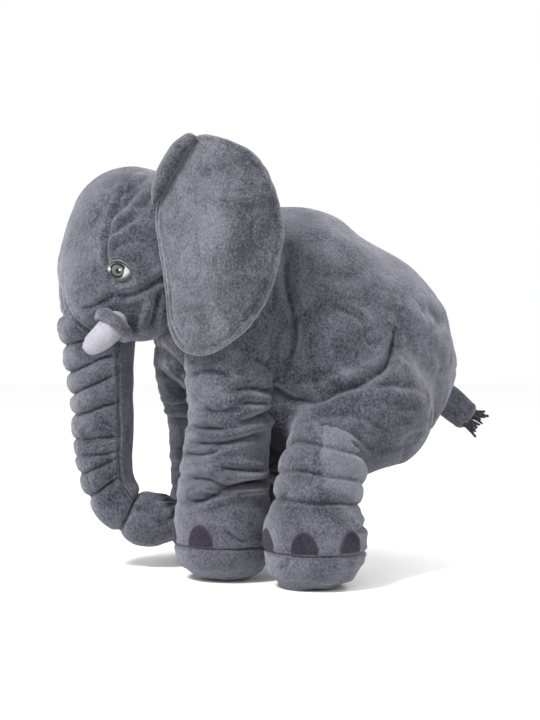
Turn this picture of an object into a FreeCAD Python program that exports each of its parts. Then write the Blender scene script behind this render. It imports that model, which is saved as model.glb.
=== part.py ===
"""Stuffed elephant, sitting up on four stuffed legs with its trunk curled down in front.

Every sewn part is a plush cover over a core of loose fibre filling. The head, ears, trunk,
legs and tail each pivot about the place where they are sewn on, so each is a body of its own
with a rounded root that turns in a pocket of the part that it is sewn to.

Millimetres. +Z is up, the elephant faces -Y and its left side is +X. While it is modelled, Y is
measured from the middle of the front feet; export moves the middle of the footprint to the origin.
"""

import FreeCAD, Part
import math
import os

V = FreeCAD.Vector
X_AXIS = V(1, 0, 0)
Z_AXIS = V(0, 0, 1)

# Fabric and fits
COVER = 3.0  # plush fabric with its pile
FIT = 0.4  # room between sewn pieces that lie against each other
SWING_ROOM = 2.0  # room around a part that pivots
MIDDLE_Y = 63.42  # middle of the length, measured from the front feet

# Torso: an egg for the back and belly, and a smaller one for the shoulders
BARREL_MIDDLE = V(0, 107, 243)
BARREL_HALF = (134, 163, 157)
SHOULDERS_MIDDLE = V(0, 10, 294)
SHOULDERS_HALF = (104, 72, 108)
BELLY_HALF_WIDTH = 55
BELLY_TOP = 170

# Head: a round skull that nods about its own middle, and two cheeks
SKULL_MIDDLE = V(0, -93, 358)
SKULL_RADIUS = 90
CHEEK_MIDDLE = V(25, -129, 301)
CHEEK_RADIUS = 51
FOREHEAD_HALF_WIDTH = 48
FOREHEAD_BACK = -62
LIP_MIDDLE = V(0, -92, 258)
LIP_RADIUS = 17
LIP_HALF_LENGTH = 15
EYE_DIRECTION = V(88, -25, -32)
EYE_CURVE = 20
EYE_HEIGHT = 3
TUSK_LINE = [(60, -106, 282, 14.5), (68, -122, 266, 13.5), (73, -136, 254, 11), (74, -147, 248, 7)]
COLLAR_RADIUS = 20
COLLAR_THICKNESS = 5

# Ears: thin stuffed ovals, hinged on their front edge
EAR_HINGE = V(89.5, -72, 351)
EAR_HALF = (8, 73, 114)
EAR_PAD_HALF = (4.6, 68, 109)
EAR_FLARE = 43
EAR_SEAM = 4  # the front edge is cut off this far back, along the seam

# Trunk: straight down, then a bend towards the feet
TRUNK_Y = -134
TRUNK_TAPER = [(264, 40), (194, 36), (120, 31), (108, 29)]  # (z, radius)
TRUNK_PIVOTS = [262, 190, 120]
TRUNK_BALLS = [33, 29, 26]
TRUNK_GAP = 11  # between the rims of two sections, room to curl
TRUNK_BEND_RADIUS = 52
TRUNK_BEND_TURN = 122
TRUNK_TIP_RADIUS = 27
TRUNK_ROOM_RADIUS = 44  # the opening under the head that the trunk hangs from
TRUNK_ROOM_TOP = 6  # above the pivot
TRUNK_SEAM = 16  # the side seam lies this far behind the trunk's middle

# Front legs: (radius, z) from the edge of the flat sole up to the shoulder
FRONT_X = 82
FRONT_Y = 3
FRONT_SIDE = [(36, 0), (46.5, 9), (51, 30), (50.5, 60), (47.5, 96), (45.5, 145), (46.5, 200), (47.5, 262)]
SHOULDER_Z = 292
SHOULDER_RADIUS = 45
FRONT_SWING = (-12, 1)

# Hind legs: an upright foot, and a shin that leans in to the knee
HIND_FOOT = V(151, 87, 0)
HIND_SIDE = [(34, 0), (45, 9), (49.5, 30), (49, 56), (42, 82), (24, 96)]
SHIN_START = V(149, 88, 54)
KNEE = V(118, 107, 146)
SHIN_RADII = (46, 44)
KNEE_RADIUS = 47
HIND_SWING = (0, 12)
HIND_TOES_TURN = 70  # the hind feet point outwards
HIP = V(86, 160, 186)
HIP_RADIUS = 61
THIGH_RADII = (59, 50)
THIGH_END_RADIUS = 52

# Feet
SOLE_TOP = 38
NAIL_ANGLES = (-54, 0, 54)
NAIL_WIDTH = 30
NAIL_HEIGHT = 23
NAIL_THICKNESS = 2.0
NAIL_LIFT = 1.0  # above the sole seam

# Tail
TAIL_ROOT = V(0, 250, 192)
TAIL_DIRECTION = V(0, 0.76, -0.65)
TAIL_RADIUS = 13
TAIL_BALL_RADIUS = 15
TAIL_LENGTH = 42
TAIL_WAG = (-20, 20)
STRAND_RADIUS = 2.2
STRAND_LENGTH = 24
STRAND_RING = 7.5
STRAND_COUNT = 8
STRAND_SPREAD = 16


# ---------------------------------------------------------------- shared shapes
def egg(middle, half, grow=0.0):
    stretch = FreeCAD.Matrix()
    stretch.scale(half[0] + grow, half[1] + grow, half[2] + grow)
    shape = Part.makeSphere(1.0).transformGeometry(stretch)
    shape.translate(middle)
    return shape


def slab(x, y, z):
    """A box from three (low, high) pairs."""
    return Part.makeBox(x[1] - x[0], y[1] - y[0], z[1] - z[0], V(x[0], y[0], z[0]))


def turned(shape, pivot, axis, degrees):
    copy = shape.copy()
    copy.rotate(pivot, axis, degrees)
    return copy


def mirrored(shape):
    """The right-hand piece of a left-hand one."""
    return shape.mirror(V(0, 0, 0), X_AXIS)


def ring(middle, normal, half_u, half_v):
    """A closed oval wire about a point, its first axis along X unless the normal is."""
    circle = Part.Circle(V(0, 0, 0), Z_AXIS, 1.0).toShape()
    stretch = FreeCAD.Matrix()
    stretch.scale(half_u, half_v, 1.0)
    edge = circle.transformGeometry(stretch)
    edge.Placement = FreeCAD.Placement(middle, FreeCAD.Rotation(Z_AXIS, normal))
    return Part.Wire([edge])


def lathe(side, middle, grow=0.0):
    """Turns a side line of (radius, z) about a vertical axis; its first point edges a flat base."""
    base_z = side[0][1] - grow
    top_z = side[-1][1] + grow
    points = [V(side[0][0] + grow, 0, base_z)]
    points += [V(r + grow, 0, z) for r, z in side[1:-1]]
    points += [V(side[-1][0] + grow, 0, top_z)]
    curve = Part.BSplineCurve()
    curve.interpolate(points)
    foot, head = V(0, 0, base_z), V(0, 0, top_z)
    edges = [
        Part.LineSegment(foot, points[0]).toShape(),
        curve.toShape(),
        Part.LineSegment(points[-1], head).toShape(),
        Part.LineSegment(head, foot).toShape(),
    ]
    solid = Part.Face(Part.Wire(edges)).revolve(V(0, 0, 0), Z_AXIS, 360)
    solid.translate(V(middle.x, middle.y, 0))
    return solid


def rod(start, end, radius):
    along = end - start
    return Part.makeCylinder(radius, along.Length, start, along)


def ball(middle, radius):
    return Part.makeSphere(radius, middle)


def cone(start, end, start_radius, end_radius):
    along = end - start
    return Part.makeCone(start_radius, end_radius, along.Length, start, along)


def swing_room(pivot, far, root_radius, far_radius, swing):
    """A cone that holds a limb through its whole swing about X."""
    middle = (swing[0] + swing[1]) / 2
    spread = (far - pivot).Length * math.tan(math.radians((swing[1] - swing[0]) / 2))
    shape = cone(pivot, far, root_radius + SWING_ROOM / 2, far_radius + SWING_ROOM + spread)
    return turned(shape, pivot, X_AXIS, middle)


def without(shape, tools):
    """A shape with each of the tools cut from it in turn."""
    for tool in tools:
        shape = shape.cut(tool)
    return shape


def main_solids(shape, share=0.02):
    """Drops the crumbs that a cut can leave."""
    solids = shape.Solids
    largest = max(s.Volume for s in solids)
    kept = [s for s in solids if s.Volume > share * largest]
    return kept[0] if len(kept) == 1 else Part.makeCompound(kept)


# ---------------------------------------------------------------- whole outlines, grown or shrunk
def torso(grow=0.0):
    return egg(BARREL_MIDDLE, BARREL_HALF, grow).fuse(egg(SHOULDERS_MIDDLE, SHOULDERS_HALF, grow))


def head(grow=0.0):
    cheek = ball(CHEEK_MIDDLE, CHEEK_RADIUS + grow)
    return ball(SKULL_MIDDLE, SKULL_RADIUS + grow).fuse([cheek, mirrored(cheek)])


def shoulder():
    return V(FRONT_X, FRONT_Y, SHOULDER_Z)


def front_leg(grow=0.0):
    return lathe(FRONT_SIDE, V(FRONT_X, FRONT_Y, 0), grow).fuse(ball(shoulder(), SHOULDER_RADIUS + grow))


def hind_foot(grow=0.0):
    return lathe(HIND_SIDE, HIND_FOOT, grow)


def shin(grow=0.0):
    return cone(SHIN_START, KNEE, SHIN_RADII[0] + grow, SHIN_RADII[1] + grow)


def hind_leg(grow=0.0):
    return hind_foot(grow).fuse([shin(grow), ball(KNEE, KNEE_RADIUS + grow)])


def thigh(grow=0.0):
    upper = cone(HIP, KNEE, THIGH_RADII[0] + grow, THIGH_RADII[1] + grow)
    return ball(HIP, HIP_RADIUS + grow).fuse([upper, ball(KNEE, THIGH_END_RADIUS + grow)])


def tail(grow=0.0):
    end = TAIL_ROOT + TAIL_DIRECTION * (TAIL_LENGTH + grow)
    root = ball(TAIL_ROOT, TAIL_BALL_RADIUS + grow)
    return rod(TAIL_ROOT, end, TAIL_RADIUS + grow).fuse(root)


def ear(half):
    """The left ear in place, its front edge cut off along the seam."""
    shape = egg(EAR_HINGE + V(0, EAR_HALF[1], 0), half)
    seam = slab((-50, 300), (EAR_HINGE.y - 60, EAR_HINGE.y + EAR_SEAM), (0, 600))
    return turned(shape.cut(seam), EAR_HINGE, Z_AXIS, -EAR_FLARE)


def trunk_tube(low, high, grow=0.0):
    """The straight trunk between two heights."""
    cones = []
    for (top, top_radius), (bottom, bottom_radius) in zip(TRUNK_TAPER, TRUNK_TAPER[1:]):
        start = V(0, TRUNK_Y, bottom)
        cones.append(Part.makeCone(bottom_radius + grow, top_radius + grow, top - bottom, start))
    whole = cones[0].fuse(cones[1:]).removeSplitter()
    return whole.common(slab((-99, 99), (TRUNK_Y - 99, TRUNK_Y + 99), (low, high)))


def trunk_bend(grow=0.0):
    """The curled end: a quarter turn and a bit more, with a rounded tip."""
    middle = V(0, TRUNK_Y + TRUNK_BEND_RADIUS, TRUNK_TAPER[-1][0])
    start = middle - V(0, TRUNK_BEND_RADIUS, 0)
    disc = Part.Face(Part.Wire([Part.Circle(start, Z_AXIS, TRUNK_TIP_RADIUS + grow).toShape()]))
    tube = disc.revolve(middle, X_AXIS, TRUNK_BEND_TURN)
    tip = turned(Part.Vertex(start), middle, X_AXIS, TRUNK_BEND_TURN).Point
    return tube.fuse(ball(tip, TRUNK_TIP_RADIUS + grow))


def trunk_pivot(i):
    return V(0, TRUNK_Y, TRUNK_PIVOTS[i])


# ---------------------------------------------------------------- sewn parts
def knee_room():
    shin_room = swing_room(KNEE, SHIN_START, SHIN_RADII[1], SHIN_RADII[0], HIND_SWING)
    return [ball(KNEE, KNEE_RADIUS + SWING_ROOM), shin_room]


def torso_pockets():
    """The hollows in the left half of the torso that the head, the legs and the tail turn in."""
    sleeve_root = FRONT_SIDE[-1][0] + SWING_ROOM
    sleeve = swing_room(shoulder(), V(FRONT_X, FRONT_Y, 60), sleeve_root, FRONT_SIDE[-2][0], FRONT_SWING)
    tail_opening = math.radians(TAIL_WAG[1])
    mouth_radius = TAIL_RADIUS / math.cos(tail_opening) + SWING_ROOM
    far = 60
    mouth = cone(TAIL_ROOT, TAIL_ROOT + TAIL_DIRECTION * far, mouth_radius,
                 mouth_radius + far * math.tan(tail_opening))
    return knee_room() + [
        sleeve,
        ball(shoulder(), SHOULDER_RADIUS + SWING_ROOM),
        ball(SKULL_MIDDLE, SKULL_RADIUS + SWING_ROOM),
        ball(TAIL_ROOT, TAIL_BALL_RADIUS + 1),
        mouth,
    ]


def torso_parts():
    left_half = slab((0, 300), (-300, 400), (0, 600))
    outer, inner = torso().common(left_half), torso(-COVER).common(left_half)
    pockets = torso_pockets()
    cover = main_solids(without(outer.cut(inner), pockets))
    belly_zone = slab((-1, BELLY_HALF_WIDTH), (-90, 300), (0, BELLY_TOP))
    side = main_solids(cover.cut(belly_zone))
    belly = main_solids(cover.common(belly_zone))
    filling = main_solids(without(inner, pockets))
    parts = {
        "torso_side_left": side,
        "torso_side_right": mirrored(side),
        "torso_belly_panel": belly.fuse(mirrored(belly)).removeSplitter(),
        "torso_filling": filling.fuse(mirrored(filling)).removeSplitter(),
    }
    rooms = [torso(FIT)] + knee_room()
    both_sides(parts, "thigh_cover", main_solids(without(thigh().cut(thigh(-COVER)), rooms)))
    both_sides(parts, "thigh_filling", main_solids(without(thigh(-COVER), rooms)))
    return parts


def both_sides(parts, name, left):
    parts[name + "_left"] = left
    parts[name + "_right"] = mirrored(left)


def tusk():
    wires = []
    for i, (x, y, z, radius) in enumerate(TUSK_LINE):
        before = V(*TUSK_LINE[max(i - 1, 0)][:3])
        after = V(*TUSK_LINE[min(i + 1, len(TUSK_LINE) - 1)][:3])
        circle = Part.Circle(V(x, y, z), after - before, radius).toShape()
        wires.append(Part.Wire([circle]))
    return Part.makeLoft(wires, True)


def collar():
    """The rolled ring of plush that holds a tusk's root."""
    start, after = V(*TUSK_LINE[0][:3]), V(*TUSK_LINE[1][:3])
    along = after - start
    middle = start + along * 0.75
    return Part.makeTorus(COLLAR_RADIUS, COLLAR_THICKNESS, middle, along)


def eye():
    """A shallow lens that lies on the side of the skull."""
    direction = EYE_DIRECTION.normalize()
    middle = SKULL_MIDDLE + direction * (SKULL_RADIUS + EYE_HEIGHT - EYE_CURVE)
    return ball(middle, EYE_CURVE).cut(ball(SKULL_MIDDLE, SKULL_RADIUS + 0.1))


def head_parts():
    outer, inner = head(), head(-COVER)
    opening = rod(trunk_pivot(1), trunk_pivot(0) + Z_AXIS * TRUNK_ROOM_TOP, TRUNK_ROOM_RADIUS)
    room = [ball(trunk_pivot(0), TRUNK_BALLS[0] + 1), opening]
    cover = without(outer.cut(inner), room)
    half = FOREHEAD_HALF_WIDTH
    forehead_zone = slab((-half, half), (-300, FOREHEAD_BACK), (262, 600))
    side = cover.common(slab((0, 200), (-300, 100), (0, 600))).cut(forehead_zone)
    against_head = head(FIT)
    lip_start = LIP_MIDDLE - V(LIP_HALF_LENGTH, 0, 0)
    lip_end = LIP_MIDDLE + V(LIP_HALF_LENGTH, 0, 0)
    lip_ends = [ball(lip_start, LIP_RADIUS), ball(lip_end, LIP_RADIUS)]
    lip = rod(lip_start, lip_end, LIP_RADIUS - 1).fuse(lip_ends)
    parts = {
        "forehead_panel": main_solids(cover.common(forehead_zone)),
        "head_filling": main_solids(without(inner, room)),
        "lower_lip": main_solids(without(lip, [against_head] + room)),
    }
    both_sides(parts, "cheek_panel", main_solids(side))
    both_sides(parts, "eye", main_solids(eye()))
    both_sides(parts, "tusk", main_solids(tusk().cut(against_head)))
    both_sides(parts, "tusk_collar", main_solids(collar().cut(against_head)))
    return parts


def ear_parts():
    whole, core = ear(EAR_HALF), ear(EAR_PAD_HALF)
    cover = whole.cut(core)
    outside = slab((EAR_HINGE.x, 400), (-300, 300), (0, 600))
    outside.rotate(EAR_HINGE, Z_AXIS, -EAR_FLARE)
    parts = {}
    both_sides(parts, "ear_outer", main_solids(cover.common(outside)))
    both_sides(parts, "ear_inner", main_solids(cover.cut(outside)))
    both_sides(parts, "ear_wadding", main_solids(core))
    return parts


def trunk_parts():
    """Three stuffed sections on rounded roots, each with a ridged front panel and a plain back panel."""
    parts = {}
    names = ("upper", "middle", "tip")
    far = 300
    seam_y = TRUNK_Y + TRUNK_SEAM
    bend_middle = V(-far / 2, TRUNK_Y + TRUNK_BEND_RADIUS, TRUNK_TAPER[-1][0])
    back_of_bend = Part.makeCylinder(TRUNK_BEND_RADIUS - TRUNK_SEAM, far, bend_middle, X_AXIS)
    back = slab((-far, far), (seam_y, far), (TRUNK_TAPER[-1][0], far)).fuse(back_of_bend)
    for i, name in enumerate(names):
        top = TRUNK_PIVOTS[i] - (TRUNK_GAP if i == 0 else TRUNK_GAP / 2)
        low = TRUNK_TAPER[-1][0] if name == "tip" else TRUNK_PIVOTS[i + 1] + TRUNK_GAP / 2
        outer = trunk_tube(low, top)
        inner = trunk_tube(low + (0 if name == "tip" else COVER), top - COVER, -COVER)
        if name == "tip":
            outer = outer.fuse(trunk_bend())
            inner = inner.fuse(trunk_bend(-COVER))
        root = ball(trunk_pivot(i), TRUNK_BALLS[i])
        outer = outer.fuse(root)
        inner = inner.fuse(ball(trunk_pivot(i), TRUNK_BALLS[i] - COVER))
        if name != "tip":
            socket = ball(trunk_pivot(i + 1), TRUNK_BALLS[i + 1] + 0.8)
            outer, inner = outer.cut(socket), inner.cut(socket)
        cover = outer.cut(inner)
        parts[f"trunk_{name}_front"] = main_solids(cover.cut(back))
        parts[f"trunk_{name}_back"] = main_solids(cover.common(back))
        parts[f"trunk_{name}_filling"] = main_solids(inner)
    return parts


def toenails(side, foot, turn):
    """Three half-round satin patches round the front of a foot, standing on the sole seam."""
    skin = lathe(side, foot, NAIL_THICKNESS).cut(lathe(side, foot, 0.15))
    nails = []
    for angle in NAIL_ANGLES:
        oval = ring(V(0, 0, 0), V(0, -1, 0), NAIL_WIDTH / 2, NAIL_HEIGHT)
        patch = Part.Face(oval).extrude(V(0, -90, 0))
        patch = patch.common(slab((-30, 30), (-90, 0), (0, 60)))
        patch.translate(V(foot.x, foot.y, SOLE_TOP + NAIL_LIFT))
        patch.rotate(V(foot.x, foot.y, 0), Z_AXIS, turn + angle)
        nails.append(main_solids(skin.common(patch)))
    return Part.makeCompound(nails)


def leg_parts():
    parts = {}
    floor_zone = slab((-400, 400), (-400, 400), (-10, SOLE_TOP))
    legs = (
        ("front", front_leg, FRONT_SIDE, V(FRONT_X, FRONT_Y, 0), 0),
        ("hind", hind_leg, HIND_SIDE, HIND_FOOT, HIND_TOES_TURN),
    )
    for name, outline, side, foot, turn in legs:
        outer, inner = outline(), outline(-COVER)
        cover = outer.cut(inner)
        both_sides(parts, f"{name}_leg_sleeve", main_solids(cover.cut(floor_zone)))
        both_sides(parts, f"{name}_sole", main_solids(cover.common(floor_zone)))
        both_sides(parts, f"{name}_leg_filling", main_solids(inner))
        both_sides(parts, f"{name}_toenails", toenails(side, foot, turn))
    return parts


def tassel():
    end = TAIL_ROOT + TAIL_DIRECTION * (TAIL_LENGTH + 0.5)
    across = TAIL_DIRECTION.cross(X_AXIS)
    strands = []
    for i in range(STRAND_COUNT):
        angle = 2 * math.pi * i / STRAND_COUNT
        outwards = X_AXIS * math.cos(angle) + across * math.sin(angle)
        start = end + outwards * STRAND_RING
        lean = math.radians(STRAND_SPREAD)
        along = TAIL_DIRECTION * math.cos(lean) + outwards * math.sin(lean)
        start = start + TAIL_DIRECTION * (STRAND_RADIUS * math.sin(lean))
        strands.append(Part.makeCone(STRAND_RADIUS, STRAND_RADIUS * 0.4, STRAND_LENGTH, start, along))
    return Part.makeCompound(strands)


def tail_parts():
    return {
        "tail_cover": main_solids(tail().cut(tail(-COVER))),
        "tail_filling": main_solids(tail(-COVER)),
        "tail_tassel": tassel(),
    }


def all_parts():
    parts = {}
    for make in (torso_parts, head_parts, ear_parts, trunk_parts, leg_parts, tail_parts):
        parts.update(make())
    for shape in parts.values():
        shape.translate(V(0, -MIDDLE_Y, 0))
    return parts


def main():
    os.makedirs("parts", exist_ok=True)
    box = FreeCAD.BoundBox()
    for name, shape in all_parts().items():
        shape.exportStep(f"parts/{name}.step")
        box.add(shape.optimalBoundingBox(False))
        litres = shape.Volume / 1e6
        print(f"{name:24s} solids {len(shape.Solids)} litres {litres:.4f} valid {shape.isValid()}")
    print("x", box.XMin, box.XMax, "y", box.YMin, box.YMax, "z", box.ZMin, box.ZMax)


if __name__ == "__main__":
    main()
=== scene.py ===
"""Stuffed grey plush elephant: the soft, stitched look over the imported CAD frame.

Shapes are worked out in millimetres in the CAD's modelling frame, with Y measured from the middle
of the front feet. build() turns them into metres and moves them to the frame's own origin.
"""

import math

import bpy
import numpy as np
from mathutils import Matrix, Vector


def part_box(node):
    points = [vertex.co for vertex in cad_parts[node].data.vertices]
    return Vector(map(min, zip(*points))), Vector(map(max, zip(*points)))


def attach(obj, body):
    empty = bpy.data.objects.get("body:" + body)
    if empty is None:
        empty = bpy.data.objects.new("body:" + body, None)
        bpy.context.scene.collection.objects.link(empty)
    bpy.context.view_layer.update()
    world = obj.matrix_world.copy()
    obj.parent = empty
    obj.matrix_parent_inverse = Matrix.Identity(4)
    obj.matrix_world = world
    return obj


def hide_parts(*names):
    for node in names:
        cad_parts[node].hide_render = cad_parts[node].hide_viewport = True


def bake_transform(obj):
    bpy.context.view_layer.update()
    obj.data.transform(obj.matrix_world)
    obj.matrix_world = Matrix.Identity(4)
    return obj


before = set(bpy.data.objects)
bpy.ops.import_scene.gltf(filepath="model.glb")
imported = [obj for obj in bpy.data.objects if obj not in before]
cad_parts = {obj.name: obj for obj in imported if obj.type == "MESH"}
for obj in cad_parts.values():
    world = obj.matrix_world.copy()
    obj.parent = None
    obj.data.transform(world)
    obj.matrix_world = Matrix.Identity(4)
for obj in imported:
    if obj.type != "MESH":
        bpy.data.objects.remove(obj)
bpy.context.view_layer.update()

MM = 0.001
FOOT_LOW, FOOT_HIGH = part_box("front_sole_left")
FRONT_X = (FOOT_LOW.x + FOOT_HIGH.x) / 2 / MM
FRONT_Y = 3.0  # the middle of the front soles in the modelling frame
SHIFT_Y = (FOOT_LOW.y + FOOT_HIGH.y) / 2 / MM - FRONT_Y
SIDES = (("left", 1), ("right", -1))


# ---------------- curves, noise and fields
def spline(keys, values, at):
    """A smooth curve through values given at rising keys."""
    keys, values = np.asarray(keys, float), np.asarray(values, float)
    slopes = np.gradient(values, keys, axis=0)
    i = np.clip(np.searchsorted(keys, at) - 1, 0, len(keys) - 2)
    step = keys[i + 1] - keys[i]
    t = (at - keys[i]) / step
    if values.ndim > 1:
        t, step = t[:, None], step[:, None]
    ends = values[i] * (2 * t**3 - 3 * t**2 + 1) + values[i + 1] * (3 * t**2 - 2 * t**3)
    return ends + step * (slopes[i] * t * (t - 1) ** 2 + slopes[i + 1] * t * t * (t - 1))


def curve(points, count):
    """Points spread evenly along a smooth curve through the given ones."""
    points = np.asarray(points, float)
    keys = np.r_[0, np.cumsum(np.linalg.norm(np.diff(points[:, :3], axis=0), axis=1))]
    return spline(keys, points, np.linspace(0, keys[-1], count))


def lumps(p, size, seed):
    """Smooth noise between -1 and 1, with lumps of about this size."""
    side = 24
    grid = np.random.default_rng(seed).uniform(-1, 1, (side, side, side))
    q = p / size
    low = np.floor(q).astype(int)
    t = q - low
    t = t * t * (3 - 2 * t)
    total = np.zeros(len(p))
    for dx in (0, 1):
        for dy in (0, 1):
            for dz in (0, 1):
                weight = abs(1 - dx - t[:, 0]) * abs(1 - dy - t[:, 1]) * abs(1 - dz - t[:, 2])
                i = (low + (dx, dy, dz)) % side
                total += weight * grid[i[:, 0], i[:, 1], i[:, 2]]
    return total


def smooth_step(low, high, x):
    t = np.clip((x - low) / (high - low), 0, 1)
    return t * t * (3 - 2 * t)


def joined(a, b, soft):
    """The union of two fields, with a fillet of about this size."""
    h = np.clip(0.5 + 0.5 * (b - a) / soft, 0, 1)
    return b * (1 - h) + a * h - soft * h * (1 - h)


def egg(p, middle, half):
    """Roughly the distance to an ellipsoid with these half sizes."""
    q = p - np.asarray(middle, float)
    a = np.linalg.norm(q / half, axis=-1)
    b = np.linalg.norm(q / np.square(half), axis=-1) + 1e-9
    return a * (a - 1) / b


def limb(p, start, end, start_radius, end_radius):
    """The distance to a rounded rod that changes its radius along the way."""
    start, end = np.asarray(start, float), np.asarray(end, float)
    along = end - start
    t = np.clip((p - start) @ along / (along @ along), 0, 1)
    gap = np.linalg.norm(p - start - t[..., None] * along, axis=-1)
    return gap - start_radius - t * (end_radius - start_radius)


def both(p):
    """The same place on the left side, for a field that is alike on both."""
    q = p.copy()
    q[..., 0] = abs(q[..., 0])
    return q


# ---------------- meshes
SETTLE_STEPS = 3  # how often the points of a field's mesh are drawn onto its surface
SETTLE_SHARE = 0.9  # how much of the gap one step closes


def mesh_of(field, low, high, cell):
    """The surface where a field is zero, as quads with one point in each crossed cell."""
    low, high = np.asarray(low, float), np.asarray(high, float)
    count = np.ceil((high - low) / cell).astype(int) + 1
    axes = [low[k] + cell * np.arange(count[k]) for k in range(3)]
    nodes = np.stack(np.meshgrid(*axes, indexing="ij"), -1)
    value = field(nodes.reshape(-1, 3)).reshape(count)
    inside = value < 0
    cells = tuple(count - 1)

    def corner(array, d):
        return array[d[0]:d[0] + cells[0], d[1]:d[1] + cells[1], d[2]:d[2] + cells[2]]

    crossings, total = np.zeros(cells), np.zeros(cells + (3,))
    for axis in range(3):
        others = [k for k in range(3) if k != axis]
        for u in (0, 1):
            for v in (0, 1):
                d = [0, 0, 0]
                d[others[0]], d[others[1]] = u, v
                e = list(d)
                e[axis] = 1
                a, b = corner(value, d), corner(value, e)
                crossed = (a < 0) != (b < 0)
                t = np.where(crossed, a / np.where(crossed, a - b, 1), 0)
                point = np.broadcast_to(np.array(d, float), cells + (3,)).copy()
                point[..., axis] += t
                total += point * crossed[..., None]
                crossings += crossed
    active = crossings > 0
    index = np.full(cells, -1)
    index[active] = np.arange(active.sum())
    where = np.argwhere(active)
    points = low + cell * (where + total[active] / crossings[active][:, None])
    quads = []
    for axis in range(3):
        u, v = [k for k in range(3) if k != axis]
        flip = axis == 1
        ahead = [slice(None)] * 3
        ahead[axis] = slice(1, None)
        behind = [slice(None)] * 3
        behind[axis] = slice(None, -1)
        a, b = inside[tuple(behind)], inside[tuple(ahead)]
        for out in (False, True):
            ijk = np.argwhere(~a & b if out else a & ~b)
            ijk = ijk[(ijk[:, u] > 0) & (ijk[:, u] < cells[u]) & (ijk[:, v] > 0) & (ijk[:, v] < cells[v])]
            ring = []
            for du, dv in ((-1, -1), (0, -1), (0, 0), (-1, 0)):
                at = ijk.copy()
                at[:, u] += du
                at[:, v] += dv
                ring.append(index[at[:, 0], at[:, 1], at[:, 2]])
            ring = np.stack(ring, 1)
            quads.append(ring[:, ::-1] if out != flip else ring)
    quads = np.concatenate(quads)
    for _ in range(SETTLE_STEPS):
        points -= field(points)[:, None] * slope(field, points) * SETTLE_SHARE
    return points, quads


def slope(field, points, reach=0.5):
    """The outward direction of a field at each point."""
    steps = [field(points + reach * e) - field(points - reach * e) for e in np.eye(3)]
    g = np.stack(steps, 1)
    return g / (np.linalg.norm(g, axis=1)[:, None] + 1e-9)


def normals(points, faces):
    """Point normals of a mesh of quads."""
    a, b, c, d = (points[faces[:, k]] for k in range(4))
    n = np.cross(c - a, d - b)
    total = np.zeros_like(points)
    for k in range(4):
        for axis in range(3):
            total[:, axis] += np.bincount(faces[:, k], n[:, axis], len(points))
    return total / (np.linalg.norm(total, axis=1)[:, None] + 1e-9)


def ring_quads(rings, segments, turned=False):
    """The quads that join each ring of points to the next one, or the same quads turned over."""
    i = np.arange(rings - 1)[:, None] * segments + np.arange(segments)[None]
    j = np.arange(rings - 1)[:, None] * segments + (np.arange(segments)[None] + 1) % segments
    quads = np.stack([i, j, j + segments, i + segments], -1).reshape(-1, 4)
    return quads[:, [0, 3, 2, 1]] if turned else quads


def end_fans(count, segments, turned=False):
    """Triangles that close the first and the last ring of `count` points, each onto one more point."""
    i, j = np.arange(segments), (np.arange(segments) + 1) % segments
    if turned:
        i, j = j, i
    low = np.stack([np.full(segments, count), j, i], 1)
    high = np.stack([np.full(segments, count + 1), count - segments + i, count - segments + j], 1)
    return low.tolist() + high.tolist()


def closed_faces(rings, segments):
    """All faces of a patch whose rings run out over its front and back in behind it."""
    fans = end_fans(rings * segments, segments, turned=True)
    return ring_quads(rings, segments, turned=True).tolist() + fans


def circle(count):
    """Angles spread evenly round a circle."""
    return np.linspace(0, 2 * math.pi, count, endpoint=False)


def tube(path, count, segments):
    """An open tube along points of (x, y, z, radius across X, radius in the other direction).

    It gives the points ring by ring, the quads, and for each point the distance along, the angle
    and the second radius. Round a tube that runs down, the angle is zero at the rear and grows
    towards +X.
    """
    line = curve(path, count)
    middle, rx, ry = line[:, :3], line[:, 3], line[:, 4]
    along = np.gradient(middle, axis=0)
    along /= np.linalg.norm(along, axis=1)[:, None]
    across = np.array([1.0, 0, 0]) - along * along[:, :1]
    across /= np.linalg.norm(across, axis=1)[:, None]
    other = np.cross(across, along)
    angle = circle(segments)
    sine, cosine = np.sin(angle)[None, :, None], np.cos(angle)[None, :, None]
    rings = middle[:, None] + across[:, None] * rx[:, None, None] * sine
    rings = rings + other[:, None] * ry[:, None, None] * cosine
    distance = np.r_[0, np.cumsum(np.linalg.norm(np.diff(middle, axis=0), axis=1))]
    facts = np.stack(np.broadcast_arrays(distance[:, None], angle[None], ry[:, None]), -1)
    return rings.reshape(-1, 3), ring_quads(count, segments), facts.reshape(-1, 3)


def capped(points, quads, segments):
    """Closes both ends of a tube with a fan."""
    ends = np.stack([points[:segments].mean(0), points[-segments:].mean(0)])
    return np.concatenate([points, ends]), quads.tolist() + end_fans(len(points), segments)


def new_object(name, data):
    item = bpy.data.objects.new(name, data)
    bpy.context.scene.collection.objects.link(item)
    return item


def build(name, points, faces, looks, body, replaced=(), painted_light_and_trim=None, mirror=1):
    """Makes the object, in metres in the frame, and gives it to its body."""
    points = points * (mirror, 1, 1)
    faces = [list(map(int, f)) for f in faces]
    if mirror < 0:
        faces = [f[::-1] for f in faces]
    mesh = bpy.data.meshes.new(name)
    mesh.from_pydata(((points + (0, SHIFT_Y, 0)) * MM).tolist(), [], faces)
    mesh.polygons.foreach_set("use_smooth", [True] * len(mesh.polygons))
    # painted shade and light per point, and the nails' lighter trim, for the material to read
    shading_and_trim = mesh.attributes.new("shading_and_trim", "FLOAT", "POINT")
    values = np.zeros(len(points))
    if painted_light_and_trim is not None:
        values[:len(painted_light_and_trim)] = painted_light_and_trim
    shading_and_trim.data.foreach_set("value", values.astype(np.float32))
    mesh.materials.append(looks)
    mesh.update()
    item = new_object(name, mesh)
    if isinstance(body, str):
        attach(item, body)
    if replaced:
        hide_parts(*replaced)
    return item


def bend_between(item):
    """Bakes the piece's placement into its mesh."""
    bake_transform(item)


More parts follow.
